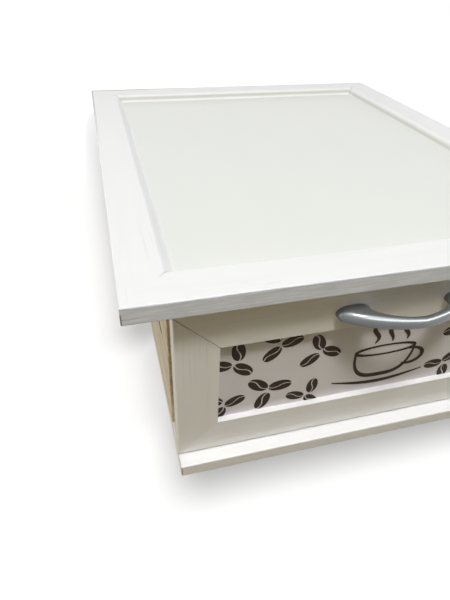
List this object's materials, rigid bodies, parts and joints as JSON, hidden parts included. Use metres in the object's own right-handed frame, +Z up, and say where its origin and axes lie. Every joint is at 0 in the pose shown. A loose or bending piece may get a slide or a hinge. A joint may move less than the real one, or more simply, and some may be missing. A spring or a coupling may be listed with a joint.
{
  "type": "coffee capsule holder",
  "caption": "Low white wooden box with a framed glass top and a drawer with a bow handle and a printed front panel, for storing coffee capsules under a machine.",
  "frame": {"origin": "on the underside of the base board, straight below the centre of the lid", "axes": "+X to the right of someone facing the drawer, +Y to the back, +Z up"},
  "size_m": [0.26, 0.3193, 0.1162],
  "materials": {
    "white_wood": "wood painted white, satin, with a fine open grain along each piece",
    "washed_wood": "pale wood under a thin white wash, matt",
    "plain_wood": "bare light wood, matt",
    "white_glass": "clear glass painted white behind, glossy, with a faint green cast",
    "printed_board": "pale printed paper on thin board, matt, with brown motifs",
    "silver_metal": "die-cast metal with satin silver lacquer",
    "screw_steel": "zinc-plated steel"
  },
  "bodies": {
    "case": {"lid_rail_front": "white_wood", "lid_rail_back": "white_wood", "lid_rail_left": "white_wood", "lid_rail_right": "white_wood", "lid_glass": "white_glass", "lid_screws": "screw_steel", "top_board": "washed_wood", "top_board_screws": "screw_steel", "base_board": "white_wood", "base_screws": "screw_steel", "side_left_lower": "washed_wood", "side_left_upper": "washed_wood", "side_right_lower": "washed_wood", "side_right_upper": "washed_wood", "back_board": "washed_wood", "back_board_pins": "screw_steel"},
    "drawer": {"front_frame_top": "white_wood", "front_frame_bottom": "white_wood", "front_frame_left": "white_wood", "front_frame_right": "white_wood", "print_panel": "printed_board", "front_frame_screws": "screw_steel", "drawer_side_left": "plain_wood", "drawer_side_right": "plain_wood", "drawer_box_front": "plain_wood", "drawer_box_back": "plain_wood", "drawer_bottom": "plain_wood", "drawer_divider_1": "plain_wood", "drawer_divider_2": "plain_wood", "drawer_box_pins": "screw_steel", "handle": "silver_metal", "handle_screws": "screw_steel"}
  },
  "joints": [
    {"name": "drawer_slide", "type": "slide", "parent": "case", "child": "drawer", "axis": [0, -1, 0], "range_m": [-0.0124, 0.19]}
  ]
}
